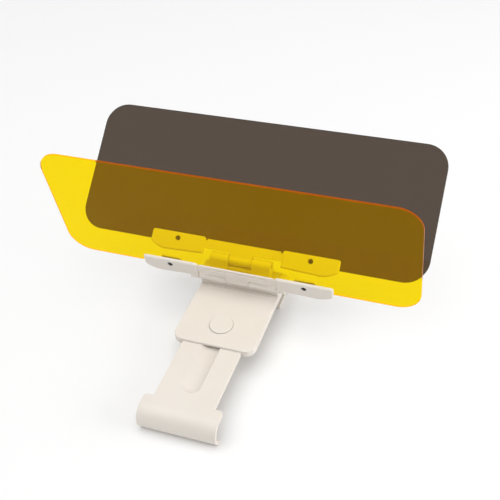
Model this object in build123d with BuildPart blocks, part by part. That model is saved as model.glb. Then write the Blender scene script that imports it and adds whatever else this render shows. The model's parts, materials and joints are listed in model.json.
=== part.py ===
"""Clip-on driving visor: a clamp that grips a car's sun shade and carries two flip lenses.

Frame (mm): origin at the centre of the back cover's underside, the face that lies on the shade.
+X runs along both hinges, +Y towards the fixed jaw, +Z away from the shade.
"""

from build123d import *
from math import asin, cos, degrees, radians, sin
import os

# ---- driving dimensions (mm, degrees) -------------------------------------------------------
# Lenses
LENS_WIDTH = 310.0
LENS_HEIGHT = 116.4
LENS_THICK = 2.0
LENS_CORNER_R = 20.0
LENS_ROUND = 0.35  # of the sheet's edges
LENS_EDGE_GAP = 6.95  # hinge axis to the lens's near edge
DAY_AXIS = (38.0, 30.9)  # y, z of the day lens's hinge
NIGHT_AXIS = (27.6, 17.8)  # y, z of the night lens's hinge
DAY_ANGLE = 38.8  # lens plane above +Y as stored
NIGHT_ANGLE = 99.8

# Lens carriers
WING_SPAN = 84.3  # centre line to a wing's outer end
WING_START = 35.0  # centre line to a wing's inner end
WING_TOP = 15.6  # hinge axis to the wing's straight edge
WING_BELLY = -0.8  # hinge axis to the lowest point of the wing's curved edge
WING_INNER_LOW = 0.8  # where the curved edge meets the inner end
WING_END_LOW = 4.2  # where the curved edge meets the outer end
WING_LOW_X = 74.0
WING_TOP_R = 2.0
WING_END_R = 3.5
WING_BELLY_R = 20.0
WING_THICK = 2.4
WING_ROUND = 1.5  # of the wing's front edges
WEB_TOP = 14.2
WEB_BOTTOM = 6.1
WEB_THICK = 1.2
NOTCH_R = 0.9  # relief notch in the web beside each wing
NOTCH = (1.2, 0.6)  # wing's inner end to its middle, and below the web's top
PAD_HALF = 26.8  # raised middle of the web
PAD_TOP = 11.2
PAD_THICK = 2.2
SCREW_X = 59.6
SCREW_UP = 10.3  # hinge axis to the lens screws
SCREW_HOLE_PLAY = 0.3
BACKING = (18.0, 9.0, 1.6)  # backing plate behind the lens: along X, up the lens, thick
BACKING_R = 2.0
BACKING_UP = 1.0  # screw to the plate's middle
CUSHION_THICK = 0.4  # soft pad between the lens and a backing plate

# Hinges
PIN_R = 1.5
PIN_CLEAR = 0.05
PIN_CHAMFER = 0.3
PIN_SUNK = 0.4  # below the knuckle's end
KNUCKLE_R = 4.0
DAY_KNUCKLE_R = 5.0  # the tower's own knuckles at the day hinge
CENTRE_KNUCKLE = 10.0  # half length
WASHER_THICK = 0.5
WASHER_R = 3.4
SIDE_CLEAR = 0.05  # each face of a washer
END_KNUCKLE = (35.0, 42.0)  # night carrier's outer knuckles
TOWER_TOP_HALF = 27.0
TOWER_HALF = 34.7
TOWER_FRONT = 28.2  # y of the wall below the night knuckles
TOWER_BACK = 47.0
TOWER_LOW = (  # y, z of the lower part's profile above the sleeve
    (TOWER_FRONT, NIGHT_AXIS[1] - 1),
    (NIGHT_AXIS[0] + 3, NIGHT_AXIS[1] + 2.5),
    (TOWER_BACK - 3.4, NIGHT_AXIS[1] + 3.5),
)
TOWER_HIGH = (  # y, z of the upper part's
    (TOWER_FRONT + 2.4, DAY_AXIS[1] - 7.5),
    (DAY_AXIS[0] - 4.75, DAY_AXIS[1] + 1.5),
    (DAY_AXIS[0] + 4.9, DAY_AXIS[1] - 1),
)
TOWER_LEAN = (0.6, 1.6)  # how far in each part's back wall stands at the sleeve
DAY_SLOT = (20.0, 9.7)  # half sizes of the cut for the day carrier's knuckle
NIGHT_SLOT = (8.7, 10.0)  # and for the night carrier's
SLOT_RAISE = 5.0  # middle of each cut above its axis
NIGHT_SLOT_SHIFT = -3.4

# Clip body
BODY_HALF = 35.15
BODY_FRONT = -38.6
BODY_CORNER_R = 8.5
BODY_BACK_CORNER_R = 2.5
BODY_TOP_ROUND = 0.9
BODY_UNDER_ROUND = 2.0
COVER_THICK = 1.4
COVER_HALF = (32.0, 33.0)
COVER_CORNER_R = 3.0
COVER_CLEAR = 0.1
COVER_SCREWS = (28.8, 28.5)
ROOF_THICK = 2.0
STEP_FRONT = 26.7  # y of the low step at the foot of the tower
STEP_TOP = 8.5
STEP_HALF = 28.5
JAW_HALF = 32.5
JAW_CENTRE_Y = 52.0
JAW_THICK = 3.0
JAW_TIP_Y = 37.0
JAW_ROOT = 4.0  # how far the jaw runs into the sleeve
BOW_R = 11.9  # outer radius of the jaw's bow and of the hook
EDGE_ROUND = 0.6  # of the jaw's and the hook's side edges

# Slider
SLIDER_HALF = 25.2
SLIDER_THICK = 3.6
SLIDER_ROUND = 0.5
SLIDER_CORNER_R = 1.2
SLIDE_CLEAR = 0.1  # above and below the slider
SLIDE_SIDE_CLEAR = 0.25
RETRACT = 40.0
EXTEND = 10.0
SLIDE_STOP = 0.4  # play left at each end of the travel
HOOK_SHOULDER = -97.0
SHOULDER_R = 3.5
HOOK_CENTRE_Y = -105.5
HOOK_HALF = 32.5
HOOK_WALL = 3.2
HOOK_SWEEP = 141.0  # degrees round the bow, from its top
SLOT_HALF = 7.75
SLOT_END = -88.0
SLOT_FLAT = 1.5  # half width of its flat bottom; its sides curve up from there
SLOT_BRIDGE = 1.8  # wall between the slot and the slider's inner end
LIP_THICK = 1.0
SLOT_FLOOR = 0.7
UNDERCUT = 10.0  # centre line to the undercut's wall, on the right side only
UNDERCUT_SHORT = 2.5  # undercut shorter than the slot at its inner end

# Lock button
BUTTON_Y = -15.8
BUTTON_R = 9.8
BUTTON_PROUD = 0.8
BUTTON_TRAVEL = 0.6
BUTTON_DISC = 1.0
BUTTON_ROUND = 0.4
BUTTON_CLEAR = 0.35
STEM_R = 3.0
BOSS_R = 6.7
BOSS_DROP = 0.9
POCKET_R = 5.8
POCKET_FLOOR = 0.7
FOOT_PLAY = 0.3  # from the foot to the undercut's wall
FOOT_LEFT = 3.2  # centre line to the foot's free side
FOOT_LONG = 10.0
FOOT_THICK = 1.0
FOOT_R = 0.4
FOOT_KEY = 4.0
FOOT_SCREW = (0.8, 2.7, 3.0)  # radius, head radius, length under the head
FOOT_SCREW_HEAD = 0.5  # depth of its seat in the foot
SPRING_WIRE_R = 0.22
SPRING_R = 4.6
SPRING_TURNS = 3

# Screws
LENS_SCREW_R = 1.2
LENS_SCREW_HEAD = (2.1, 1.1)  # radius, height
CROSS = (2.4, 0.5, 0.8)  # cross drive: long, wide, deep
HEAD_SUNK = 0.3
COVER_SCREW_R = 1.1
COVER_SCREW_HEAD_R = 2.0
COVER_SCREW_LONG = 5.6
COVER_CROSS_DEEP = 0.6
SCREW_SHORT = 0.1  # clearance at a screw's end
FIT = 0.05

# ---- worked out from them -------------------------------------------------------------------
LENS_HALF = LENS_THICK / 2
BODY_THICK = COVER_THICK + 2 * SLIDE_CLEAR + SLIDER_THICK + ROOF_THICK
ROOF_Z = BODY_THICK - ROOF_THICK
CAVITY_HALF = SLIDER_HALF + SLIDE_SIDE_CLEAR
SLIDER_Z = COVER_THICK + SLIDE_CLEAR
SLIDER_TOP = SLIDER_Z + SLIDER_THICK
SLOT_INNER = BUTTON_Y + EXTEND + SLOT_HALF + SLIDE_STOP
SLIDER_END = SLOT_INNER + SLOT_BRIDGE
CAVITY_END = SLIDER_END + RETRACT + SLIDE_STOP
BOW_Z = BODY_THICK - BOW_R
JAW_GAP_R = (BOW_R - BOW_Z - JAW_THICK) / 2
HOOK_Z = SLIDER_TOP - BOW_R
BOSS_Z = ROOF_Z - BOSS_DROP
POCKET_Z = BOSS_Z + POCKET_FLOOR
DISC_Z = BODY_THICK + BUTTON_PROUD - BUTTON_DISC
RECESS_Z = DISC_Z - BUTTON_TRAVEL - SLIDE_CLEAR
FOOT_TOP = SLIDER_TOP - LIP_THICK - FIT
FOOT_Z = FOOT_TOP - FOOT_THICK
SEAT_Z = FOOT_Z + FOOT_SCREW_HEAD
FOOT_WIDE = UNDERCUT - FOOT_PLAY + FOOT_LEFT
FLOOR_Z = SLIDER_Z + SLOT_FLOOR
LIP_Z = SLIDER_TOP - LIP_THICK
SLOT_DEEP = SLIDER_TOP - FLOOR_Z
SIDE_R = ((SLOT_HALF - SLOT_FLAT) ** 2 + SLOT_DEEP**2) / (2 * SLOT_DEEP)  # of the slot's sides
SINK = COVER_SCREW_HEAD_R - COVER_SCREW_R  # depth of a 90 degree countersunk head
TOWER_FOOT = BODY_THICK - 1  # where the tower and its step start, inside the sleeve's roof
TOWER_SLOT = CENTRE_KNUCKLE + WASHER_THICK + 2 * SIDE_CLEAR
UPWARDS = (Align.CENTER, Align.CENTER, Align.MIN)


def lens_plane(axis, angle):
    """Plane of a lens: X along the hinge, Y up the lens, Z towards the driver."""
    tilt = radians(angle)
    return Plane(origin=(0, *axis), x_dir=(1, 0, 0), z_dir=(0, -sin(tilt), cos(tilt)))


def across(start, end, y, z, radius):
    """A cylinder along X from start to end, added to the part being built."""
    with Locations(((start + end) / 2, y, z)):
        Cylinder(radius, end - start, rotation=(0, 90, 0))


def save(part, label):
    """Labels a finished piece and writes it."""
    part.label = label
    export_step(part, f"parts/{label}.step")


os.makedirs("parts", exist_ok=True)
DAY = lens_plane(DAY_AXIS, DAY_ANGLE)
NIGHT = lens_plane(NIGHT_AXIS, NIGHT_ANGLE)


# ---- lens pieces, made once for each lens ---------------------------------------------------
def make_lens(plane):
    """Flat sheet with round corners and two screw holes."""
    with BuildPart() as lens:
        with BuildSketch(plane.offset(-LENS_HALF)):
            with Locations((0, LENS_EDGE_GAP + LENS_HEIGHT / 2)):
                RectangleRounded(LENS_WIDTH, LENS_HEIGHT, LENS_CORNER_R)
            with Locations((-SCREW_X, SCREW_UP), (SCREW_X, SCREW_UP)):
                Circle(LENS_SCREW_R + SCREW_HOLE_PLAY, mode=Mode.SUBTRACT)
        extrude(amount=LENS_THICK)
        by_depth = lens.faces().sort_by(Axis(plane.origin, plane.z_dir))
        for face in (by_depth[0], by_depth[-1]):
            fillet(face.outer_wire().edges(), LENS_ROUND)
    return lens.part


def make_carrier(plane, axis, end_knuckles):
    """Two wings joined by a thinner web, with a centre knuckle and, if asked, one at each wing."""
    with BuildPart() as carrier:
        with BuildSketch(plane.offset(LENS_HALF)):
            with BuildLine():
                Polyline(
                    (WING_START, WING_TOP),
                    (WING_SPAN, WING_TOP),
                    (WING_SPAN, WING_END_LOW),
                    (WING_LOW_X, WING_BELLY),
                    (WING_START, WING_INNER_LOW),
                    close=True,
                )
            make_face()
            fillet(vertices().group_by(Axis.Y)[-1], WING_TOP_R)
            fillet(vertices().sort_by_distance((WING_SPAN, WING_END_LOW))[0], WING_END_R)
            fillet(vertices().sort_by_distance((WING_LOW_X, WING_BELLY))[0], WING_BELLY_R)
            mirror(about=Plane.YZ)
        extrude(amount=WING_THICK)
        fillet(carrier.faces().sort_by(Axis(plane.origin, plane.z_dir))[-2:].edges(), WING_ROUND)
        with BuildSketch(plane.offset(LENS_HALF)):
            with Locations((0, (WEB_TOP + WEB_BOTTOM) / 2)):
                Rectangle(2 * WING_START + 1, WEB_TOP - WEB_BOTTOM)
            with Locations(*((side * (WING_START - NOTCH[0]), WEB_TOP - NOTCH[1]) for side in (-1, 1))):
                Circle(NOTCH_R, mode=Mode.SUBTRACT)
        extrude(amount=WEB_THICK)
        with BuildSketch(plane.offset(LENS_HALF)):
            with Locations((0, (PAD_TOP + WEB_BOTTOM) / 2)):
                Rectangle(2 * PAD_HALF, PAD_TOP - WEB_BOTTOM)
            with Locations((0, WEB_BOTTOM / 2)):
                Rectangle(2 * CENTRE_KNUCKLE, WEB_BOTTOM)
        extrude(amount=PAD_THICK)
        across(-CENTRE_KNUCKLE, CENTRE_KNUCKLE, *axis, KNUCKLE_R)
        if end_knuckles:
            across(*END_KNUCKLE, *axis, KNUCKLE_R)
            across(-END_KNUCKLE[1], -END_KNUCKLE[0], *axis, KNUCKLE_R)
        with BuildSketch(Plane.YZ.offset(-END_KNUCKLE[1])):
            with Locations(axis):
                Circle(PIN_R + PIN_CLEAR)
        extrude(amount=2 * END_KNUCKLE[1], mode=Mode.SUBTRACT)
        with Locations(plane.offset(LENS_HALF + WING_THICK)):
            with Locations((-SCREW_X, SCREW_UP), (SCREW_X, SCREW_UP)):
                CounterBoreHole(
                    LENS_SCREW_R + SLIDE_CLEAR,
                    LENS_SCREW_HEAD[0] + 2 * SLIDE_CLEAR,
                    LENS_SCREW_HEAD[1] + HEAD_SUNK,
                    WING_THICK,
                )
    return carrier.part


def make_plates(plane, depth, thick):
    """A small plate behind the lens at each screw, its front face at the given depth."""
    with BuildPart() as plates:
        with BuildSketch(plane.offset(-depth)):
            with Locations((-SCREW_X, SCREW_UP + BACKING_UP), (SCREW_X, SCREW_UP + BACKING_UP)):
                RectangleRounded(BACKING[0], BACKING[1], BACKING_R)
            with Locations((-SCREW_X, SCREW_UP), (SCREW_X, SCREW_UP)):
                Circle(LENS_SCREW_R + FIT, mode=Mode.SUBTRACT)
        extrude(amount=-thick)
    return plates.part


def make_lens_screws(plane):
    """Pan-head screws sunk in the wings, with a cross drive."""
    head_r, head_tall = LENS_SCREW_HEAD
    head_z = LENS_HALF + WING_THICK - head_tall - HEAD_SUNK
    with BuildPart() as screws:
        with BuildSketch(plane.offset(head_z)):
            with Locations((-SCREW_X, SCREW_UP), (SCREW_X, SCREW_UP)):
                Circle(head_r)
        extrude(amount=head_tall)
        with BuildSketch(plane.offset(head_z)):
            with Locations((-SCREW_X, SCREW_UP), (SCREW_X, SCREW_UP)):
                Circle(LENS_SCREW_R)
        extrude(amount=-(head_z + LENS_HALF + CUSHION_THICK + BACKING[2] - SCREW_SHORT))
        with BuildSketch(plane.offset(head_z + head_tall)):
            with Locations((-SCREW_X, SCREW_UP), (SCREW_X, SCREW_UP)):
                Rectangle(CROSS[0], CROSS[1])
                Rectangle(CROSS[1], CROSS[0])
        extrude(amount=-CROSS[2], mode=Mode.SUBTRACT)
    return screws.part


def make_pin(axis, half):
    """Hinge pin with rounded ends."""
    with BuildPart() as pin:
        across(-half, half, *axis, PIN_R)
        chamfer(pin.edges(), PIN_CHAMFER)
    return pin.part


def make_washers(axis):
    """Friction washers, one on each side of the centre knuckle."""
    inner = CENTRE_KNUCKLE + SIDE_CLEAR
    with BuildPart() as washers:
        for start in (inner, -inner - WASHER_THICK):
            with BuildSketch(Plane.YZ.offset(start)):
                with Locations(axis):
                    Circle(WASHER_R)
                    Circle(PIN_R + PIN_CLEAR, mode=Mode.SUBTRACT)
            extrude(amount=WASHER_THICK)
    return washers.part


for name, plane, axis, end_knuckles, pin_half in (
    ("day", DAY, DAY_AXIS, False, TOWER_TOP_HALF - PIN_SUNK),
    ("night", NIGHT, NIGHT_AXIS, True, END_KNUCKLE[1] - PIN_SUNK),
):
    save(make_lens(plane), f"{name}_lens")
    save(make_carrier(plane, axis, end_knuckles), f"{name}_carrier")
    save(make_plates(plane, LENS_HALF, CUSHION_THICK), f"{name}_lens_cushions")
    save(make_plates(plane, LENS_HALF + CUSHION_THICK, BACKING[2]), f"{name}_backing_plates")
    save(make_lens_screws(plane), f"{name}_lens_screws")
    save(make_pin(axis, pin_half), f"{name}_hinge_pin")
    save(make_washers(axis), f"{name}_friction_washers")

# ---- fixed jaw, later joined to the sleeve ---------------------------------------------------
with BuildPart() as fixed_jaw:
    with BuildSketch(Plane.YZ.offset(-JAW_HALF)):
        with BuildLine():
            top = BODY_THICK
            root = TOWER_BACK - JAW_ROOT
            bottom = BOW_Z - BOW_R
            tip = JAW_TIP_Y + JAW_THICK / 2
            Line((root, top), (JAW_CENTRE_Y, top))
            ThreePointArc(
                (JAW_CENTRE_Y, top), (JAW_CENTRE_Y + BOW_R, BOW_Z), (JAW_CENTRE_Y, bottom)
            )
            Line((JAW_CENTRE_Y, bottom), (tip, bottom))
            ThreePointArc(
                (tip, bottom), (JAW_TIP_Y, bottom + JAW_THICK / 2), (tip, bottom + JAW_THICK)
            )
            Line((tip, bottom + JAW_THICK), (JAW_CENTRE_Y, bottom + JAW_THICK))
            ThreePointArc(
                (JAW_CENTRE_Y, bottom + JAW_THICK),
                (JAW_CENTRE_Y + JAW_GAP_R, -JAW_GAP_R),
                (JAW_CENTRE_Y, 0),
            )
            Line((JAW_CENTRE_Y, 0), (root, 0))
            Line((root, 0), (root, top))
        make_face()
    extrude(amount=2 * JAW_HALF)
    fillet(fixed_jaw.faces().filter_by(Axis.X).edges(), EDGE_ROUND)

# ---- clip body: sleeve, hinge tower, step and fixed jaw in one moulding ----------------------
with BuildPart() as clip_body:
    # sleeve
    with BuildSketch():
        with Locations((0, (BODY_FRONT + TOWER_BACK) / 2)):
            Rectangle(2 * BODY_HALF, TOWER_BACK - BODY_FRONT)
        fillet(vertices().group_by(Axis.Y)[0], BODY_CORNER_R)
        fillet(vertices().group_by(Axis.Y)[-1], BODY_BACK_CORNER_R)
    extrude(amount=BODY_THICK)
    fillet(clip_body.faces().sort_by(Axis.Z)[-1].edges(), BODY_TOP_ROUND)
    fillet(clip_body.faces().sort_by(Axis.Z)[0].edges(), BODY_UNDER_ROUND)

    add(fixed_jaw.part)

    # hinge tower: a wide lower part with the night knuckles, a narrower upper one with the day's
    for half, profile, lean in (
        (TOWER_HALF, TOWER_LOW, TOWER_LEAN[0]),
        (TOWER_TOP_HALF, TOWER_HIGH, TOWER_LEAN[1]),
    ):
        with BuildSketch(Plane.YZ.offset(-half)):
            Polygon(
                (TOWER_FRONT, TOWER_FOOT), *profile, (TOWER_BACK - lean, TOWER_FOOT), align=None
            )
        extrude(amount=2 * half)
    across(-TOWER_HALF, TOWER_HALF, *NIGHT_AXIS, KNUCKLE_R)
    across(-TOWER_TOP_HALF, TOWER_TOP_HALF, *DAY_AXIS, DAY_KNUCKLE_R)

    # slot in the tower for both centre knuckles; its lower web stays
    with BuildSketch(Plane.YZ.offset(-TOWER_SLOT)):
        with Locations((DAY_AXIS[0], DAY_AXIS[1] + SLOT_RAISE)):
            Rectangle(2 * DAY_SLOT[0], 2 * DAY_SLOT[1])
        with Locations((NIGHT_AXIS[0] + NIGHT_SLOT_SHIFT, NIGHT_AXIS[1] + SLOT_RAISE)):
            Rectangle(2 * NIGHT_SLOT[0], 2 * NIGHT_SLOT[1])
    extrude(amount=2 * TOWER_SLOT, mode=Mode.SUBTRACT)

    # low step at the foot of the tower
    with BuildSketch(Plane.XY.offset(TOWER_FOOT)):
        with Locations((0, STEP_FRONT)):
            Rectangle(
                2 * STEP_HALF, TOWER_BACK - JAW_ROOT - STEP_FRONT, align=(Align.CENTER, Align.MIN)
            )
    extrude(amount=STEP_TOP - TOWER_FOOT)

    # slider cavity, open at the front and closed below by the cover
    with BuildSketch(Plane.XY.offset(COVER_THICK)):
        with Locations((0, (BODY_FRONT - 1 + CAVITY_END) / 2)):
            Rectangle(2 * CAVITY_HALF, CAVITY_END - BODY_FRONT + 1)
    extrude(amount=ROOF_Z - COVER_THICK, mode=Mode.SUBTRACT)
    with BuildSketch():
        RectangleRounded(
            2 * (COVER_HALF[0] + COVER_CLEAR),
            2 * (COVER_HALF[1] + COVER_CLEAR),
            COVER_CORNER_R + COVER_CLEAR,
        )
    extrude(amount=COVER_THICK, mode=Mode.SUBTRACT)

    # boss that reaches into the slider's slot, with the button's recess, pocket and stem hole
    with BuildSketch(Plane.XY.offset(BOSS_Z)):
        with Locations((0, BUTTON_Y)):
            Circle(BOSS_R)
    extrude(amount=BOSS_DROP + ROOF_THICK / 4)
    for radius, floor in (
        (BUTTON_R + BUTTON_CLEAR, RECESS_Z),
        (POCKET_R, POCKET_Z),
        (STEM_R + FIT, BOSS_Z),
    ):
        with BuildSketch(Plane.XY.offset(floor)):
            with Locations((0, BUTTON_Y)):
                Circle(radius)
        extrude(amount=BODY_THICK - floor + 1, mode=Mode.SUBTRACT)

    # pin bores and cover screw holes
    for axis in (DAY_AXIS, NIGHT_AXIS):
        with BuildSketch(Plane.YZ.offset(-TOWER_HALF - 1)):
            with Locations(axis):
                Circle(PIN_R + PIN_CLEAR)
        extrude(amount=2 * TOWER_HALF + 2, mode=Mode.SUBTRACT)
    with BuildSketch():
        with GridLocations(2 * COVER_SCREWS[0], 2 * COVER_SCREWS[1], 2, 2):
            Circle(COVER_SCREW_R + FIT)
    extrude(amount=COVER_SCREW_LONG + 2 * SCREW_SHORT, mode=Mode.SUBTRACT)
save(clip_body.part, "clip_body")

# ---- back cover and its screws --------------------------------------------------------------
with BuildPart() as back_cover:
    with BuildSketch():
        RectangleRounded(2 * COVER_HALF[0], 2 * COVER_HALF[1], COVER_CORNER_R)
    extrude(amount=COVER_THICK)
    with Locations(Plane(origin=(0, 0, 0), x_dir=(1, 0, 0), z_dir=(0, 0, -1))):
        with GridLocations(2 * COVER_SCREWS[0], 2 * COVER_SCREWS[1], 2, 2):
            CounterSinkHole(COVER_SCREW_R + FIT, COVER_SCREW_HEAD_R + FIT, COVER_THICK)
save(back_cover.part, "back_cover")

with BuildPart() as cover_screws:
    with GridLocations(2 * COVER_SCREWS[0], 2 * COVER_SCREWS[1], 2, 2):
        Cylinder(COVER_SCREW_R, COVER_SCREW_LONG, align=UPWARDS)
        Cone(COVER_SCREW_HEAD_R, COVER_SCREW_R, SINK, align=UPWARDS)
    with GridLocations(2 * COVER_SCREWS[0], 2 * COVER_SCREWS[1], 2, 2):
        for long, wide in (CROSS[:2], CROSS[1::-1]):
            Box(long, wide, COVER_CROSS_DEEP, align=UPWARDS, mode=Mode.SUBTRACT)
save(cover_screws.part, "cover_screws")

# ---- slider with the lower hook -------------------------------------------------------------
with BuildPart() as hook:
    with BuildSketch(Plane.YZ.offset(-HOOK_HALF)):
        with BuildLine():
            middle_r = BOW_R - HOOK_WALL / 2
            beyond = radians(90 + HOOK_SWEEP + degrees(HOOK_WALL / 2 / middle_r))
            outer = CenterArc((HOOK_CENTRE_Y, HOOK_Z), BOW_R, 90, HOOK_SWEEP)
            inner = CenterArc((HOOK_CENTRE_Y, HOOK_Z), BOW_R - HOOK_WALL, 90, HOOK_SWEEP)
            tip = (HOOK_CENTRE_Y + middle_r * cos(beyond), HOOK_Z + middle_r * sin(beyond))
            ThreePointArc(outer @ 1, tip, inner @ 1)
            Line(outer @ 0, (HOOK_SHOULDER, SLIDER_TOP))
            Line((HOOK_SHOULDER, SLIDER_TOP), (HOOK_SHOULDER, SLIDER_TOP - HOOK_WALL))
            Line((HOOK_SHOULDER, SLIDER_TOP - HOOK_WALL), inner @ 0)
        make_face()
    extrude(amount=2 * HOOK_HALF)
    fillet(hook.edges().filter_by(Axis.Z).group_by(Axis.Y)[-1], SHOULDER_R)
    fillet(hook.faces().filter_by(Axis.X).edges(), EDGE_ROUND)

with BuildPart() as slider_arm:
    with BuildSketch(Plane.XY.offset(SLIDER_Z)):
        with Locations((0, (HOOK_SHOULDER + SLIDER_END) / 2 - HOOK_WALL)):
            Rectangle(2 * SLIDER_HALF, SLIDER_END - HOOK_SHOULDER + 2 * HOOK_WALL)
        fillet(vertices().group_by(Axis.Y)[-1], SLIDER_CORNER_R)
    extrude(amount=SLIDER_THICK)
    fillet(slider_arm.edges().filter_by(Axis.Y), SLIDER_ROUND)
    add(hook.part)

    # slot with sides that curve up from its floor, and an undercut for the foot on its right
    with BuildSketch(Plane.XZ.offset(-SLOT_INNER)) as half_slot:
        with BuildLine():
            side_angle = degrees(asin((SLOT_HALF - SLOT_FLAT) / SIDE_R))
            wall = CenterArc((SLOT_FLAT, FLOOR_Z + SIDE_R), SIDE_R, -90, side_angle)
            Polyline(wall @ 1, (SLOT_HALF, BODY_THICK), (0, BODY_THICK), (0, FLOOR_Z), wall @ 0)
        make_face()
    outline = half_slot.sketch.face()
    straight = SLOT_INNER - SLOT_END - SLOT_HALF
    end_axis = Axis((0, SLOT_END + SLOT_HALF, 0), (0, 0, 1))
    for half in (outline, outline.mirror(Plane.YZ)):
        extrude(half, amount=straight, dir=(0, -1, 0), mode=Mode.SUBTRACT)
    revolve(outline.moved(Location((0, -straight, 0))), end_axis, 360, mode=Mode.SUBTRACT)
    with BuildSketch(Plane.XY.offset(FLOOR_Z)):
        with Locations((0, SLOT_END + SLOT_HALF)):
            Rectangle(UNDERCUT, straight - UNDERCUT_SHORT, align=(Align.MIN, Align.MIN))
    extrude(amount=LIP_Z - FLOOR_Z, mode=Mode.SUBTRACT)
save(slider_arm.part, "slider_arm")

# ---- lock button, foot and spring -----------------------------------------------------------
with BuildPart() as lock_button:
    with BuildSketch(Plane.XY.offset(DISC_Z)):
        with Locations((0, BUTTON_Y)):
            Circle(BUTTON_R)
    extrude(amount=BUTTON_DISC)
    fillet(lock_button.faces().sort_by(Axis.Z)[-1].edges(), BUTTON_ROUND)
    with BuildSketch(Plane.XY.offset(FOOT_TOP)):
        with Locations((0, BUTTON_Y)):
            Circle(STEM_R)
    extrude(amount=DISC_Z - FOOT_TOP)
    with BuildSketch(Plane.XY.offset(SEAT_Z)):
        with Locations((0, BUTTON_Y)):
            Rectangle(FOOT_KEY, FOOT_KEY)
    extrude(amount=FOOT_TOP - SEAT_Z)
    with BuildSketch(Plane.XY.offset(SEAT_Z)):
        with Locations((0, BUTTON_Y)):
            Circle(FOOT_SCREW[0] + FIT)
    extrude(amount=FOOT_SCREW[2] + SCREW_SHORT, mode=Mode.SUBTRACT)
save(lock_button.part, "lock_button")

with BuildPart() as lock_foot:
    with BuildSketch(Plane.XY.offset(FOOT_Z)):
        with Locations((FOOT_WIDE / 2 - FOOT_LEFT, BUTTON_Y)):
            RectangleRounded(FOOT_WIDE, FOOT_LONG, FOOT_R)
        with Locations((0, BUTTON_Y)):
            Rectangle(FOOT_KEY + 2 * FIT, FOOT_KEY + 2 * FIT, mode=Mode.SUBTRACT)
    extrude(amount=FOOT_THICK)
    with BuildSketch(Plane.XY.offset(FOOT_Z)):
        with Locations((0, BUTTON_Y)):
            Circle(FOOT_SCREW[1] + FIT)
    extrude(amount=FOOT_SCREW_HEAD, mode=Mode.SUBTRACT)
save(lock_foot.part, "lock_foot")

# its head spans the square key and holds the foot on the stem
with BuildPart() as foot_screw:
    with Locations((0, BUTTON_Y, SEAT_Z)):
        Cylinder(FOOT_SCREW[0], FOOT_SCREW[2], align=UPWARDS)
    with Locations((0, BUTTON_Y, FOOT_Z + FIT)):
        Cylinder(FOOT_SCREW[1], FOOT_SCREW_HEAD - FIT, align=UPWARDS)
save(foot_screw.part, "foot_screw")

SPRING_LOW = POCKET_Z + SPRING_WIRE_R + FIT
SPRING_TALL = DISC_Z - POCKET_Z - 2 * (SPRING_WIRE_R + FIT)
with BuildPart() as button_spring:
    with BuildLine():
        coil = Helix(
            SPRING_TALL / SPRING_TURNS, SPRING_TALL, SPRING_R, center=(0, BUTTON_Y, SPRING_LOW)
        )
    with BuildSketch(Plane(coil @ 0, z_dir=coil % 0)):
        Circle(SPRING_WIRE_R)
    sweep(is_frenet=True)
save(button_spring.part, "button_spring")
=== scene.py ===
"""Looks for a clip-on driving visor: an ivory clamp with a smoke day lens and a yellow night lens.

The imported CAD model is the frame. This script dresses its nodes with procedural finishes, makes the
screws and the button spring as detailed pieces, and sets up a plain studio.
Everything is in metres in the frame of the CAD: +X along the hinges, +Y towards the fixed jaw and
+Z away from the car's own shade.
"""

from __future__ import annotations

import json
import logging
import math
from dataclasses import dataclass, field
from enum import Enum
from typing import Iterable, Sequence

import bmesh
import bpy
from mathutils import Matrix, Vector


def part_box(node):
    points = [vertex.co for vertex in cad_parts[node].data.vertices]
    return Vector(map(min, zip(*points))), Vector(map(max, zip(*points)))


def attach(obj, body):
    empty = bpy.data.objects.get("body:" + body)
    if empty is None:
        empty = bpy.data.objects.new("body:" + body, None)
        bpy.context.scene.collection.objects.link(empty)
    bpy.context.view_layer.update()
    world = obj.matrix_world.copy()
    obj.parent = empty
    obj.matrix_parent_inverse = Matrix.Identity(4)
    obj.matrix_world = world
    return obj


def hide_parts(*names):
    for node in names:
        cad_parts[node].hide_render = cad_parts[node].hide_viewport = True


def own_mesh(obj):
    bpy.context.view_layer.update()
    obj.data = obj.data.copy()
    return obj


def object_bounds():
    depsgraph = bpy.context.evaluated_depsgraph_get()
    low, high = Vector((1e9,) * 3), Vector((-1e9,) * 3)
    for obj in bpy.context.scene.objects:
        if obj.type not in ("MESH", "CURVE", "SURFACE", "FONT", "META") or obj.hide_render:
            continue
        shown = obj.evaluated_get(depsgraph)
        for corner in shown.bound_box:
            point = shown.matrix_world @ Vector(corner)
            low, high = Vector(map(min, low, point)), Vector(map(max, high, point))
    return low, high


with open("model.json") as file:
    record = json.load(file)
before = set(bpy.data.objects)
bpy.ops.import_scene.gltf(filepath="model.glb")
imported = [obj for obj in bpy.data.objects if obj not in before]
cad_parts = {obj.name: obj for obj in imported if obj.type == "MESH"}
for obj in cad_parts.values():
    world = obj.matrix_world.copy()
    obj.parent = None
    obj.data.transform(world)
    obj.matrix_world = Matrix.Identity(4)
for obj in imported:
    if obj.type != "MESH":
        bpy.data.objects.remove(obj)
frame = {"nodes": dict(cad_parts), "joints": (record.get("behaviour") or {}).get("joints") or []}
CAD_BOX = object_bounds()

log = logging.getLogger("visor")
MM = 0.001
SAME_POINT = 0.002 * MM  # points nearer than this are one
FLAT_ANGLE = math.radians(0.5)  # faces that meet at less than this are one face
Triple = tuple[float, float, float]
DAY_ANGLE = 38.8  # degrees from the plane of the clamp to each lens, as stored
NIGHT_ANGLE = 99.8


def linear(red: int, green: int, blue: int) -> Triple:
    """A colour given as 8-bit display values, in linear light.

    Args:
        red: Red, 0 to 255.
        green: Green, 0 to 255.
        blue: Blue, 0 to 255.

    Returns:
        The three linear components.
    """

    def one(value: int) -> float:
        """One component in linear light."""
        share = value / 255
        return share / 12.92 if share <= 0.04045 else ((share + 0.055) / 1.055) ** 2.4

    return one(red), one(green), one(blue)


# ---- shader maths ---------------------------------------------------------------------------


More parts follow.
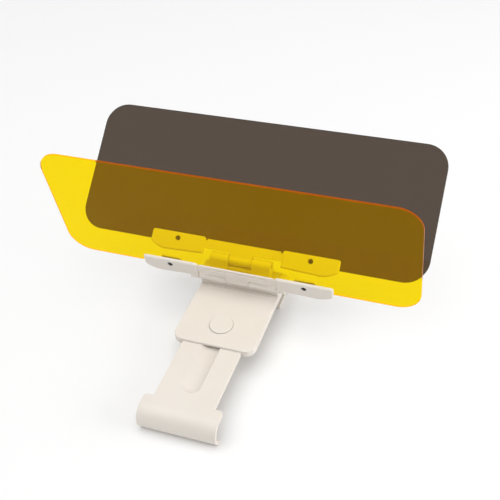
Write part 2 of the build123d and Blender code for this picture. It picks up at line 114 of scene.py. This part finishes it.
class Wire:
    """A shader socket that number maths can be written with, as in 1 - mask * 0.5."""

    def __init__(self, graph: Graph, socket: bpy.types.NodeSocket) -> None:
        """Wraps an output socket of a graph."""
        self.graph = graph
        self.socket = socket

    def _maths(self, operation: str, *values: Wire | float) -> Wire:
        """The result of one Math node."""
        return self.graph.node("ShaderNodeMath", {"operation": operation}, dict(enumerate(values)))

    def __add__(self, other: Wire | float) -> Wire:
        """Sum."""
        return self._maths("ADD", self, other)

    def __radd__(self, other: float) -> Wire:
        """Sum with a number on the left."""
        return self._maths("ADD", other, self)

    def __sub__(self, other: Wire | float) -> Wire:
        """Difference."""
        return self._maths("SUBTRACT", self, other)

    def __rsub__(self, other: float) -> Wire:
        """A number less this."""
        return self._maths("SUBTRACT", other, self)

    def __mul__(self, other: Wire | float) -> Wire:
        """Product."""
        return self._maths("MULTIPLY", self, other)

    def __rmul__(self, other: float) -> Wire:
        """Product with a number on the left."""
        return self._maths("MULTIPLY", other, self)

    def __abs__(self) -> Wire:
        """Size without its sign."""
        return self._maths("ABSOLUTE", self)

    def over(self, low: float, high: float) -> Wire:
        """0 below low and 1 above high, with a smooth step between.

        Args:
            low: Value where the step starts.
            high: Value where it ends.

        Returns:
            The step.
        """
        return self.graph.node(
            "ShaderNodeMapRange",
            {"interpolation_type": "SMOOTHSTEP"},
            {"Value": self, "From Min": low, "From Max": high},
        )


class Graph:
    """The node tree of one material, or of the world."""

    def __init__(self, name: str, kind: str = "Material") -> None:
        """Makes a material, or a world, with an empty tree and its output.

        Args:
            name: Its name.
            kind: Material or World.
        """
        makers = bpy.data.worlds if kind == "World" else bpy.data.materials
        self.owner = makers.new(name)
        self.owner.use_nodes = True
        self.tree = self.owner.node_tree
        self.tree.nodes.clear()
        self.end = self.tree.nodes.new(f"ShaderNodeOutput{kind}")

    def node(
        self,
        kind: str,
        settings: dict[str, object] | None = None,
        values: dict[str | int, object] | None = None,
        output: str | int = 0,
    ) -> Wire:
        """Makes one node, sets it up and joins its inputs.

        Args:
            kind: The node's type, such as ShaderNodeTexNoise.
            settings: Attributes of the node, set first.
            values: Values or wires of its inputs, by name or place.
            output: Which output to return.

        Returns:
            The wire of that output.
        """
        made = self.tree.nodes.new(kind)
        for name, value in (settings or {}).items():
            setattr(made, name, value)
        for key, value in (values or {}).items():
            socket = made.inputs[key]
            if isinstance(value, Wire):
                self.tree.links.new(value.socket, socket)
            elif isinstance(value, tuple) and socket.type == "RGBA":
                socket.default_value = (*value[:3], 1.0)
            else:
                socket.default_value = value
        return Wire(self, made.outputs[output])

    def place(self) -> Wire:
        """Where a point is on its piece, in metres."""
        return self.node("ShaderNodeTexCoord", output="Object")

    def noise(self, scale: float, detail: float = 2.0, seed: float = 0.0) -> Wire:
        """Seeded noise around 0.5.

        Args:
            scale: Features per metre.
            detail: Octaves.
            seed: The fourth coordinate.

        Returns:
            The noise.
        """
        return self.node(
            "ShaderNodeTexNoise",
            {"noise_dimensions": "4D"},
            {"Vector": self.place(), "W": seed, "Scale": scale, "Detail": detail},
        )

    def blend(self, share: Wire | float, low: object, high: object) -> Wire:
        """A mix of two colours.

        Args:
            share: How much of the second, 0 to 1.
            low: The first colour.
            high: The second colour.

        Returns:
            The mixed colour.
        """
        return self.node(
            "ShaderNodeMix", {"data_type": "RGBA"}, {0: share, 6: low, 7: high}, output=2
        )

    def bump(self, height: Wire, depth: float) -> Wire:
        """A normal from a height.

        Args:
            height: The height, 0 to 1.
            depth: What a height of 1 stands for, in metres.

        Returns:
            The normal.
        """
        return self.node(
            "ShaderNodeBump", None, {"Strength": 1.0, "Distance": depth, "Height": height}
        )

    def finish(self, surface: Wire) -> bpy.types.ID:
        """Joins the surface to the output and returns the material or the world."""
        self.tree.links.new(surface.socket, self.end.inputs["Surface"])
        return self.owner


# ---- finishes -------------------------------------------------------------------------------


@dataclass(frozen=True)
class MouldedPlastic:
    """Injection-moulded plastic with a fine spark-eroded grain and a little mottling.

    Mottle, speck, grain and flow are features per metre of the patterns that make it up, and
    the shares say how far each goes towards the shade or changes the roughness.
    """

    name: str
    colour: Triple
    shade: Triple
    roughness: float = 0.42
    mottle: float = 28.0
    speck: float = 420.0
    grain: float = 1500.0
    flow: float = 9.0
    mottle_share: float = 0.55
    speck_share: float = 0.1
    flow_share: float = 0.16
    grain_share: float = 0.1
    grain_depth: float = 0.012 * MM
    ior: float = 1.5
    under_share: float = 0.08  # share of light that scatters under the surface
    under_depth: float = 0.8 * MM

    def make(self) -> bpy.types.Material:
        """The material."""
        g = Graph(self.name)
        mottle = g.noise(self.mottle, detail=3.0, seed=1.0).over(0.35, 0.7)
        speck = g.noise(self.speck, detail=2.0, seed=2.0).over(0.62, 0.8)
        grain = g.noise(self.grain, detail=2.0, seed=3.0)
        flow = g.noise(self.flow, detail=1.0, seed=4.0)
        worn = mottle * self.mottle_share + speck * self.speck_share
        dull = self.roughness + (flow - 0.5) * self.flow_share + (grain - 0.5) * self.grain_share
        return g.finish(
            g.node(
                "ShaderNodeBsdfPrincipled",
                None,
                {
                    "Base Color": g.blend(worn, self.colour, self.shade),
                    "Roughness": dull,
                    "IOR": self.ior,
                    "Subsurface Weight": self.under_share,
                    "Subsurface Radius": (1.0, 0.75, 0.5),
                    "Subsurface Scale": self.under_depth,
                    "Normal": g.bump(grain, self.grain_depth),
                },
            )
        )


@dataclass(frozen=True)
class TintedSheet:
    """Polished transparent sheet with a faint painted glow, emission standing in for light, which is
    stronger at its cut edge as a painted highlight.

    Light from the lamps, and between matt surfaces, passes it by a clear shader, which keeps
    what lies behind the sheet bright and free of grain. The lens angle tells the flat faces
    from the cut edge.
    """

    name: str
    tint: Triple
    edge: Triple
    shadow: Triple
    gloss_tint: Triple
    # painted light: an emission glow over the sheet and a stronger painted highlight at its cut edge;
    # the sheet is no lamp
    painted_glow: Triple
    painted_edge_highlight: Triple
    lens_angle: float
    ior: float = 1.25
    haze: float = 35.0  # features per metre of the polish marks
    rim_turn: tuple[float, float] = (0.55, 0.95)  # facing at the cut edge and at the flat face
    roughness: float = 0.015
    haze_rough: float = 0.03
    rim_rough: float = 0.12

    def make(self) -> bpy.types.Material:
        """The material."""
        g = Graph(self.name)
        tilt = math.radians(self.lens_angle)
        facing = g.node(
            "ShaderNodeVectorMath",
            {"operation": "DOT_PRODUCT"},
            {
                0: g.node("ShaderNodeTexCoord", output="Normal"),
                1: Vector((0, -math.sin(tilt), math.cos(tilt))),
            },
            output="Value",
        )
        rim = 1 - abs(facing).over(*self.rim_turn)
        haze = g.noise(self.haze, detail=4.0, seed=6.0).over(0.45, 0.8)
        sheet = g.node(
            "ShaderNodeBsdfPrincipled",
            None,
            {
                "Base Color": g.blend(rim, self.tint, self.edge),
                "Roughness": self.roughness + haze * self.haze_rough + rim * self.rim_rough,
                "IOR": self.ior,
                "Specular Tint": self.gloss_tint,
                # painted light: emission glow, stronger at the cut edge as a painted highlight
                "Emission Color": g.blend(rim, self.painted_glow, self.painted_edge_highlight),
                "Emission Strength": 1.0,
                "Transmission Weight": 1.0,
            },
        )
        through = g.node("ShaderNodeBsdfTransparent", None, {"Color": self.shadow})
        for ray in ("Is Diffuse Ray", "Is Shadow Ray"):
            kind = g.node("ShaderNodeLightPath", output=ray)
            sheet = g.node("ShaderNodeMixShader", None, {0: kind, 1: sheet, 2: through})
        return g.finish(sheet)


@dataclass(frozen=True)
class Metal:
    """Bare or blackened steel with fine drawing marks."""

    name: str
    colour: Triple
    roughness: float
    metallic: float = 1.0
    marks: float = 900.0  # features per metre of the drawing marks
    stains: float = 120.0  # and of the darker stains
    stain_share: float = 0.6
    stain_dark: float = 0.7  # colour of a full stain, of the bare colour
    marks_share: float = 0.18
    marks_depth: float = 0.004 * MM

    def make(self) -> bpy.types.Material:
        """The material."""
        g = Graph(self.name)
        marks = g.noise(self.marks, detail=3.0, seed=8.0)
        stain = g.noise(self.stains, detail=2.0, seed=9.0)
        dull = tuple(self.stain_dark * c for c in self.colour)
        return g.finish(
            g.node(
                "ShaderNodeBsdfPrincipled",
                None,
                {
                    "Base Color": g.blend(stain * self.stain_share, self.colour, dull),
                    "Metallic": self.metallic,
                    "Roughness": self.roughness + (marks - 0.5) * self.marks_share,
                    "Normal": g.bump(marks, self.marks_depth),
                },
            )
        )


class Finish(Enum):
    """Every finish on the object."""

    IVORY = MouldedPlastic("ivory_abs", (0.80, 0.745, 0.68), (0.77, 0.71, 0.64))
    BUTTON = MouldedPlastic("ivory_button", (0.80, 0.75, 0.685), (0.77, 0.715, 0.645), 0.36)
    RUBBER = MouldedPlastic("soft_silicone", (0.80, 0.78, 0.72), (0.77, 0.75, 0.69), 0.7)
    NYLON = MouldedPlastic("nylon", linear(222, 220, 208), linear(214, 211, 196), 0.5)
    SMOKE = TintedSheet(
        name="smoke_sheet",
        tint=(0.078, 0.057, 0.043),
        edge=(0.016, 0.011, 0.008),
        shadow=(0.93, 0.925, 0.92),
        gloss_tint=(1.0, 0.9, 0.8),
        painted_glow=(0.0, 0.0, 0.0),
        painted_edge_highlight=(0.0, 0.0, 0.0),
        lens_angle=DAY_ANGLE,
    )
    YELLOW = TintedSheet(
        name="yellow_sheet",
        tint=(0.85, 0.665, 0.001),
        edge=(0.74, 0.46, 0.002),
        shadow=(0.99, 0.985, 0.965),
        gloss_tint=(1.0, 0.6, 0.03),
        # painted glow lifting the yellow, and a painted orange-red highlight along the cut edge
        painted_glow=(0.066, 0.032, 0.003),
        painted_edge_highlight=(0.30, 0.03, 0.004),
        lens_angle=NIGHT_ANGLE,
        ior=1.10,
    )
    STEEL = Metal("ground_steel", (0.62, 0.62, 0.63), 0.28)
    SPRING = Metal("spring_wire", (0.42, 0.42, 0.43), 0.34)
    BLACK_OXIDE = Metal("black_oxide", (0.035, 0.034, 0.033), 0.42, 0.6)

    @property
    def material(self) -> bpy.types.Material:
        """This finish's material, made once."""
        made = bpy.data.materials.get(self.value.name)
        return made or self.value.make()


# ---- geometry nodes -------------------------------------------------------------------------


class NodeShape:
    """A Geometry Nodes tree with named inputs, built step by step."""

    def __init__(self, name: str) -> None:
        """Starts a tree that takes a geometry.

        Args:
            name: The tree's name.
        """
        self.tree = bpy.data.node_groups.new(name, "GeometryNodeTree")
        face = self.tree.interface
        face.new_socket("Geometry", in_out="INPUT", socket_type="NodeSocketGeometry")
        face.new_socket("Geometry", in_out="OUTPUT", socket_type="NodeSocketGeometry")
        self.start = self.tree.nodes.new("NodeGroupInput")
        self.end = self.tree.nodes.new("NodeGroupOutput")

    def size(self, name: str, value: float, kind: str = "NodeSocketFloat") -> bpy.types.NodeSocket:
        """Adds a named input.

        Args:
            name: The input's name.
            value: Its default.
            kind: Its socket type.

        Returns:
            The socket that gives it inside the tree.
        """
        made = self.tree.interface.new_socket(name, in_out="INPUT", socket_type=kind)
        made.default_value = value
        return self.start.outputs[name]

    def node(
        self,
        kind: str,
        settings: dict[str, object] | None = None,
        values: dict[str | int, object] | None = None,
        output: str | int = 0,
    ) -> bpy.types.NodeSocket:
        """Makes one node, sets it up and joins its inputs.

        Args:
            kind: The node's type.
            settings: Attributes, set first.
            values: Values or sockets of its inputs. A list joins several to one input.
            output: Which output to return.

        Returns:
            That output's socket.
        """
        made = self.tree.nodes.new(kind)
        for name, value in (settings or {}).items():
            setattr(made, name, value)
        for key, value in (values or {}).items():
            for one in value if isinstance(value, list) else [value]:
                if isinstance(one, bpy.types.NodeSocket):
                    self.tree.links.new(one, made.inputs[key])
                else:
                    made.inputs[key].default_value = one
        return made.outputs[output]

    def maths(self, operation: str, *values: object) -> bpy.types.NodeSocket:
        """The result of one Math node."""
        return self.node("ShaderNodeMath", {"operation": operation}, dict(enumerate(values)))

    def vector(self, x: object = 0.0, y: object = 0.0, z: object = 0.0) -> bpy.types.NodeSocket:
        """A vector from three numbers."""
        return self.node("ShaderNodeCombineXYZ", None, {0: x, 1: y, 2: z})

    def moved(self, shape: bpy.types.NodeSocket, **values: object) -> bpy.types.NodeSocket:
        """The shape moved, turned or scaled by a Transform node."""
        return self.node("GeometryNodeTransform", None, {"Geometry": shape, **values})

    def joined(self, shapes: list[bpy.types.NodeSocket]) -> bpy.types.NodeSocket:
        """Several shapes as one."""
        return self.node("GeometryNodeJoinGeometry", None, {0: shapes})

    def close(self, shape: bpy.types.NodeSocket, material: bpy.types.Material) -> None:
        """Ends the tree in Realize Instances and Set Material.

        Args:
            shape: What the tree has made.
            material: The material that it gets.
        """
        whole = self.node("GeometryNodeRealizeInstances", None, {0: shape})
        dressed = self.node(
            "GeometryNodeSetMaterial", None, {"Geometry": whole, "Material": material}
        )
        self.tree.links.new(dressed, self.end.inputs[0])


def cleaned(mesh: bpy.types.Mesh) -> None:
    """Joins doubled points, merges flat faces and drops slivers that a cut leaves.

    Args:
        mesh: The mesh, changed in place.
    """
    made = bmesh.new()
    made.from_mesh(mesh)
    bmesh.ops.remove_doubles(made, verts=made.verts, dist=SAME_POINT)
    bmesh.ops.dissolve_limit(made, angle_limit=FLAT_ANGLE, verts=made.verts, edges=made.edges)
    bmesh.ops.triangulate(made, faces=made.faces)
    bmesh.ops.dissolve_degenerate(made, dist=SAME_POINT, edges=made.edges)
    bmesh.ops.recalc_face_normals(made, faces=made.faces)
    made.to_mesh(mesh)
    made.free()


def grown(
    name: str,
    shape: NodeShape,
    seeds: Iterable[Vector],
    place: Matrix,
    smooth_angle: float = 35.0,
) -> bpy.types.Object:
    """Runs a tree on points and returns the result as a plain mesh in its place.

    Args:
        name: The new piece's name.
        shape: The tree, already closed.
        seeds: The points it starts from.
        place: Where its own frame lies in the object's frame.
        smooth_angle: Edges sharper than this many degrees stay sharp.

    Returns:
        The piece, at the origin, with its place in its mesh.
    """
    points = bpy.data.meshes.new(f"{name}_points")
    points.from_pydata([tuple(p) for p in seeds], [], [])
    host = bpy.data.objects.new(f"{name}_host", points)
    bpy.context.scene.collection.objects.link(host)
    maker = host.modifiers.new("make", "NODES")
    maker.node_group = shape.tree
    seen = host.evaluated_get(bpy.context.evaluated_depsgraph_get())
    mesh = bpy.data.meshes.new_from_object(seen)
    host.modifiers.remove(maker)
    bpy.data.objects.remove(host)
    mesh.name = name
    cleaned(mesh)
    mesh.transform(place)
    mesh.set_sharp_from_angle(angle=math.radians(smooth_angle))
    piece = bpy.data.objects.new(name, mesh)
    bpy.context.scene.collection.objects.link(piece)
    return piece


@dataclass(frozen=True)
class ScrewSizes:
    """Sizes of a cross-head screw in metres, then shares of them and counts of facets."""

    head_r: float
    head_tall: float
    neck_r: float
    shank_r: float
    length: float
    drive: float
    pitch: float
    crown: float = 1.0  # outer face of the head, of head_r
    thread: float = 0.22  # height of the thread, of the pitch
    drive_long: float = 4.2  # length of a drive slot, of its width
    drive_deep: tuple[float, float] = (1.6, 1.75)  # cutter heights, unlike so no floors meet
    run_out: float = 1.3  # plain neck under the head, of head_tall
    head_facets: int = 40
    head_rings: int = 3
    shank_facets: int = 24
    thread_facets: int = 20


def screw_shape(name: str, sizes: ScrewSizes, finish: Finish) -> NodeShape:
    """A tree that puts a cross-head screw on every point, head up its own Z.

    Args:
        name: The tree's name.
        sizes: The screw's sizes.
        finish: Its finish.

    Returns:
        The closed tree. The point is the middle of the head's outer face.
    """
    s = NodeShape(name)
    head_r = s.size("Head Radius", sizes.head_r)
    head_tall = s.size("Head Height", sizes.head_tall)
    neck_r = s.size("Neck Radius", sizes.neck_r)
    shank_r = s.size("Shank Radius", sizes.shank_r)
    length = s.size("Length", sizes.length)
    drive = s.size("Drive Width", sizes.drive)
    pitch = s.size("Thread Pitch", sizes.pitch)

    head = s.node(
        "GeometryNodeMeshCone",
        None,
        {
            "Vertices": sizes.head_facets,
            "Side Segments": sizes.head_rings,
            "Radius Top": s.maths("MULTIPLY", head_r, sizes.crown),
            "Radius Bottom": neck_r,
            "Depth": head_tall,
        },
    )
    head = s.moved(head, Translation=s.vector(z=s.maths("MULTIPLY", head_tall, -1)))
    wall = s.node(
        "GeometryNodeMeshCylinder",
        None,
        {"Vertices": sizes.shank_facets, "Radius": shank_r, "Depth": length},
    )
    wall = s.moved(wall, Translation=s.vector(z=s.maths("MULTIPLY", length, -0.5)))
    arm = s.maths("MULTIPLY", drive, sizes.drive_long)
    depths = [s.maths("MULTIPLY", drive, deep) for deep in sizes.drive_deep]
    bars = [
        s.moved(
            s.node("GeometryNodeMeshCube", None, {"Size": s.vector(arm, drive, depth)}),
            Rotation=(0.0, 0.0, turn),
        )
        for turn, depth in zip((0.0, math.pi / 2), depths)
    ]
    cut = s.node(
        "GeometryNodeMeshBoolean", {"operation": "DIFFERENCE"}, {"Mesh 1": head, "Mesh 2": bars}
    )
    turns = s.maths("DIVIDE", s.maths("SUBTRACT", length, head_tall), pitch)
    helix = s.node(
        "GeometryNodeCurveSpiral",
        None,
        {
            "Resolution": sizes.thread_facets,
            "Rotations": turns,
            "Start Radius": shank_r,
            "End Radius": shank_r,
            "Height": s.maths("SUBTRACT", length, s.maths("MULTIPLY", head_tall, sizes.run_out)),
        },
    )
    helix = s.moved(helix, Translation=s.vector(z=s.maths("MULTIPLY", length, -1)))
    ridge = s.node(
        "GeometryNodeCurvePrimitiveCircle",
        None,
        {"Resolution": 3, "Radius": s.maths("MULTIPLY", pitch, sizes.thread)},
    )
    thread = s.node(
        "GeometryNodeCurveToMesh",
        None,
        {"Curve": helix, "Profile Curve": ridge, "Fill Caps": True},
    )
    screw = s.joined([cut, wall, thread])
    placed = s.node(
        "GeometryNodeInstanceOnPoints", None, {"Points": s.start.outputs[0], "Instance": screw}
    )
    s.close(placed, finish.material)
    return s


# ---- sub-assemblies -------------------------------------------------------------------------


class Dressed:
    """Something made of CAD nodes that get finishes, and of pieces that ride on its body."""

    def dress(self, finish: Finish, *nodes: str) -> None:
        """Gives CAD nodes a finish.

        Args:
            finish: The finish.
            nodes: The nodes' names.
        """
        for name in nodes:
            node = frame["nodes"][name]
            for holder in node.material_slots:
                holder.material = finish.material
            log.info("dressed %s in %s", name, finish.value.name)

    def carry(self, piece: bpy.types.Object, body: str, slot: str, *stands_for: str) -> None:
        """Puts a finished piece on a body.

        Args:
            piece: The piece.
            body: The CAD body it moves with.
            slot: The record's material slot of its finish; not used.
            stands_for: CAD nodes that it is shown in place of.
        """
        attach(piece, body)
        if stands_for:
            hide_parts(*stands_for)
        log.info("made %s with %d faces on %s", piece.name, len(piece.data.polygons), body)


@dataclass
class Flap(Dressed):
    """A flip lens with its carrier, backing plates and screws."""

    name: str
    hinge: str
    angle: float
    lens: Finish
    screw_x: float = 59.6 * MM
    screw_up: float = 10.3 * MM
    screw_face: float = 3.1 * MM  # lens mid-plane to the outer face of a screw's head
    screw: ScrewSizes = ScrewSizes(
        head_r=2.05 * MM,
        head_tall=1.05 * MM,
        neck_r=1.9 * MM,
        shank_r=1.0 * MM,
        length=5.9 * MM,
        drive=0.5 * MM,
        pitch=0.45 * MM,
        crown=0.93,
    )

    def plane(self) -> Matrix:
        """The lens's frame: X along the hinge, Y up the lens and Z towards the driver."""
        joint = next(j for j in frame["joints"] if j["name"] == self.hinge)
        turn = Matrix.Rotation(math.radians(self.angle), 4, "X")
        return Matrix.Translation(Vector(joint["pos_m"])) @ turn

    def build(self) -> None:
        """Dresses the CAD nodes and makes the screws."""
        self.dress(self.lens, f"{self.name}_lens")
        self.dress(Finish.IVORY, f"{self.name}_carrier", f"{self.name}_backing_plates")
        self.dress(Finish.RUBBER, f"{self.name}_lens_cushions")
        self.dress(Finish.STEEL, f"{self.name}_hinge_pin")
        self.dress(Finish.NYLON, f"{self.name}_friction_washers")
        seeds = [Vector((side * self.screw_x, self.screw_up, self.screw_face)) for side in (-1, 1)]
        tree = screw_shape(f"{self.name}_screw_tree", self.screw, Finish.BLACK_OXIDE)
        piece = grown(f"{self.name}_cross_head_screws", tree, seeds, self.plane())
        self.carry(piece, f"{self.name}_flap", "dark_screw", f"{self.name}_lens_screws")


@dataclass
class Clamp(Dressed):
    """The sleeve with its tower and jaw, the cover, the slider and the lock button."""

    cover_screw_x: float = 28.8 * MM
    cover_screw_y: float = 28.5 * MM
    cover_screw: ScrewSizes = ScrewSizes(
        head_r=1.95 * MM,
        head_tall=0.85 * MM,
        neck_r=1.1 * MM,
        shank_r=0.95 * MM,
        length=5.5 * MM,
        drive=0.45 * MM,
        pitch=0.6 * MM,
        thread=0.16,
    )
    spring_r: float = 4.6 * MM
    spring_wire: float = 0.22 * MM
    spring_turns: float = 3.0
    spring_facets: tuple[int, int] = (48, 12)  # along one turn and round the wire
    button_travel: float = 0.6 * MM

    def build(self) -> None:
        """Dresses the CAD nodes and makes the clamp's own pieces."""
        self.dress(Finish.IVORY, "clip_body", "back_cover", "slider_arm")
        self.dress(Finish.BUTTON, "lock_button")
        self.dress(Finish.NYLON, "lock_foot")
        self.dress(Finish.BLACK_OXIDE, "foot_screw")
        self.make_cover_screws()
        self.make_spring()

    def make_cover_screws(self) -> None:
        """Countersunk screws in the back cover, heads down."""
        x, y = self.cover_screw_x, self.cover_screw_y
        seeds = [Vector((sx * x, sy * y, 0)) for sx in (-1, 1) for sy in (-1, 1)]
        tree = screw_shape("cover_screw_tree", self.cover_screw, Finish.BLACK_OXIDE)
        piece = grown("cover_cross_head_screws", tree, seeds, Matrix.Rotation(math.pi, 4, "X"))
        self.carry(piece, "clip", "dark_screw", "cover_screws")

    def make_spring(self) -> None:
        """The helical spring under the lock button."""
        low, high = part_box("button_spring")
        middle = (Vector(low) + Vector(high)) / 2
        along, around = self.spring_facets
        s = NodeShape("spring_tree")
        radius = s.size("Radius", self.spring_r)
        wire = s.size("Wire Radius", self.spring_wire)
        turns = s.size("Turns", self.spring_turns)
        tall = s.size("Height", high[2] - low[2] - 2 * self.spring_wire)
        coil = s.node(
            "GeometryNodeCurveSpiral",
            None,
            {
                "Resolution": along,
                "Rotations": turns,
                "Start Radius": radius,
                "End Radius": radius,
                "Height": tall,
            },
        )
        ring = s.node(
            "GeometryNodeCurvePrimitiveCircle", None, {"Resolution": around, "Radius": wire}
        )
        tube = s.node(
            "GeometryNodeCurveToMesh",
            None,
            {"Curve": coil, "Profile Curve": ring, "Fill Caps": True},
        )
        s.close(tube, Finish.SPRING.material)
        foot = Matrix.Translation((middle.x, middle.y, low[2] + self.spring_wire))
        piece = grown("button_coil_spring", s, [Vector()], foot)
        self.carry(piece, "clip", "spring_steel", "button_spring")
        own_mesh(piece)


@dataclass(frozen=True)
class SoftBox:
    """A round soft lamp that looks at the origin. Sizes are in metres, the power in watts."""

    name: str
    place: Triple
    width: float
    power: float

    def hang(self) -> None:
        """Makes the lamp."""
        lamp = bpy.data.lights.new(self.name, "AREA")
        lamp.shape = "DISK"
        lamp.size = self.width
        lamp.energy = self.power
        holder = bpy.data.objects.new(self.name, lamp)
        holder.location = self.place
        holder.rotation_euler = (-Vector(self.place)).to_track_quat("-Z", "Y").to_euler()
        bpy.context.scene.collection.objects.link(holder)


@dataclass
class Studio:
    """A pale floor, soft light and the camera. Angles are in degrees, the focal length in mm."""

    floor_size: float = 14.0
    floor_pale: float = 0.93
    floor_mottled: float = 0.915
    floor_cloud: float = 3.0  # features per metre of the floor's mottling
    floor_rough: float = 0.9
    overhead: SoftBox = SoftBox("overhead", (-0.35, -0.20, 2.4), 3.4, 41.0)
    right_fill: SoftBox = SoftBox("right_fill", (1.6, 0.1, 0.5), 1.2, 12.0)
    side_light: float = 0.32
    top_light: float = 0.58
    eye: Vector = field(default_factory=lambda: Vector((0.22084, -0.46864, 0.51893)))
    azimuth: float = 22.70
    elevation: float = 40.75
    roll: float = -5.15
    focal: float = 62.66
    sensor: float = 36.0

    def build(self) -> None:
        """Sets everything up."""
        self.lay_floor()
        self.light_world()
        self.overhead.hang()
        self.right_fill.hang()
        self.set_camera()
        bpy.context.scene.view_settings.view_transform = "Standard"

    def lay_floor(self) -> None:
        """A plain pale floor under the object."""
        g = Graph("pale_floor")
        cloud = g.noise(self.floor_cloud, detail=2.0, seed=20.0) * 0.5
        white = g.blend(cloud, (self.floor_pale,) * 3, (self.floor_mottled,) * 3)
        surface = g.node(
            "ShaderNodeBsdfPrincipled", None, {"Base Color": white, "Roughness": self.floor_rough}
        )
        half = self.floor_size / 2
        low = CAD_BOX[0][2]
        mesh = bpy.data.meshes.new("floor")
        square = ((-half, -half), (half, -half), (half, half), (-half, half))
        corners = [(x, y, low) for x, y in square]
        mesh.from_pydata(corners, [], [(0, 1, 2, 3)])
        floor = bpy.data.objects.new("floor", mesh)
        floor.data.materials.append(g.finish(surface))
        bpy.context.scene.collection.objects.link(floor)

    def light_world(self) -> None:
        """White surroundings, brighter overhead than at the sides."""
        g = Graph("studio_world", "World")
        way = g.node("ShaderNodeTexCoord", output="Generated")
        height = g.node("ShaderNodeSeparateXYZ", None, {0: way}, output="Z")
        light = self.side_light + height.over(-0.1, 1.0) * (self.top_light - self.side_light)
        back = g.node("ShaderNodeBackground", None, {"Color": (1.0, 1.0, 1.0), "Strength": light})
        bpy.context.scene.world = g.finish(back)

    def set_camera(self) -> None:
        """The camera, from above and to the right, a little tilted."""
        around, down, roll = (math.radians(a) for a in (self.azimuth, self.elevation, self.roll))
        ahead = Vector(
            (-math.sin(around) * math.cos(down), math.cos(around) * math.cos(down), -math.sin(down))
        )
        turn = ahead.to_track_quat("-Z", "Y").to_matrix() @ Matrix.Rotation(roll, 3, "Z")
        lens = bpy.data.cameras.new("camera")
        lens.lens = self.focal
        lens.sensor_width = self.sensor
        holder = bpy.data.objects.new("camera", lens)
        holder.matrix_world = Matrix.Translation(self.eye) @ turn.to_4x4()
        bpy.context.scene.collection.objects.link(holder)
        bpy.context.scene.camera = holder


def main() -> None:
    """Builds everything in order."""
    logging.basicConfig(level=logging.INFO, format="%(name)s: %(message)s")
    Clamp().build()
    Flap("day", "day_lens_hinge", DAY_ANGLE, Finish.SMOKE).build()
    Flap("night", "night_lens_hinge", NIGHT_ANGLE, Finish.YELLOW).build()
    Studio().build()


if __name__ == "__main__":
    main()
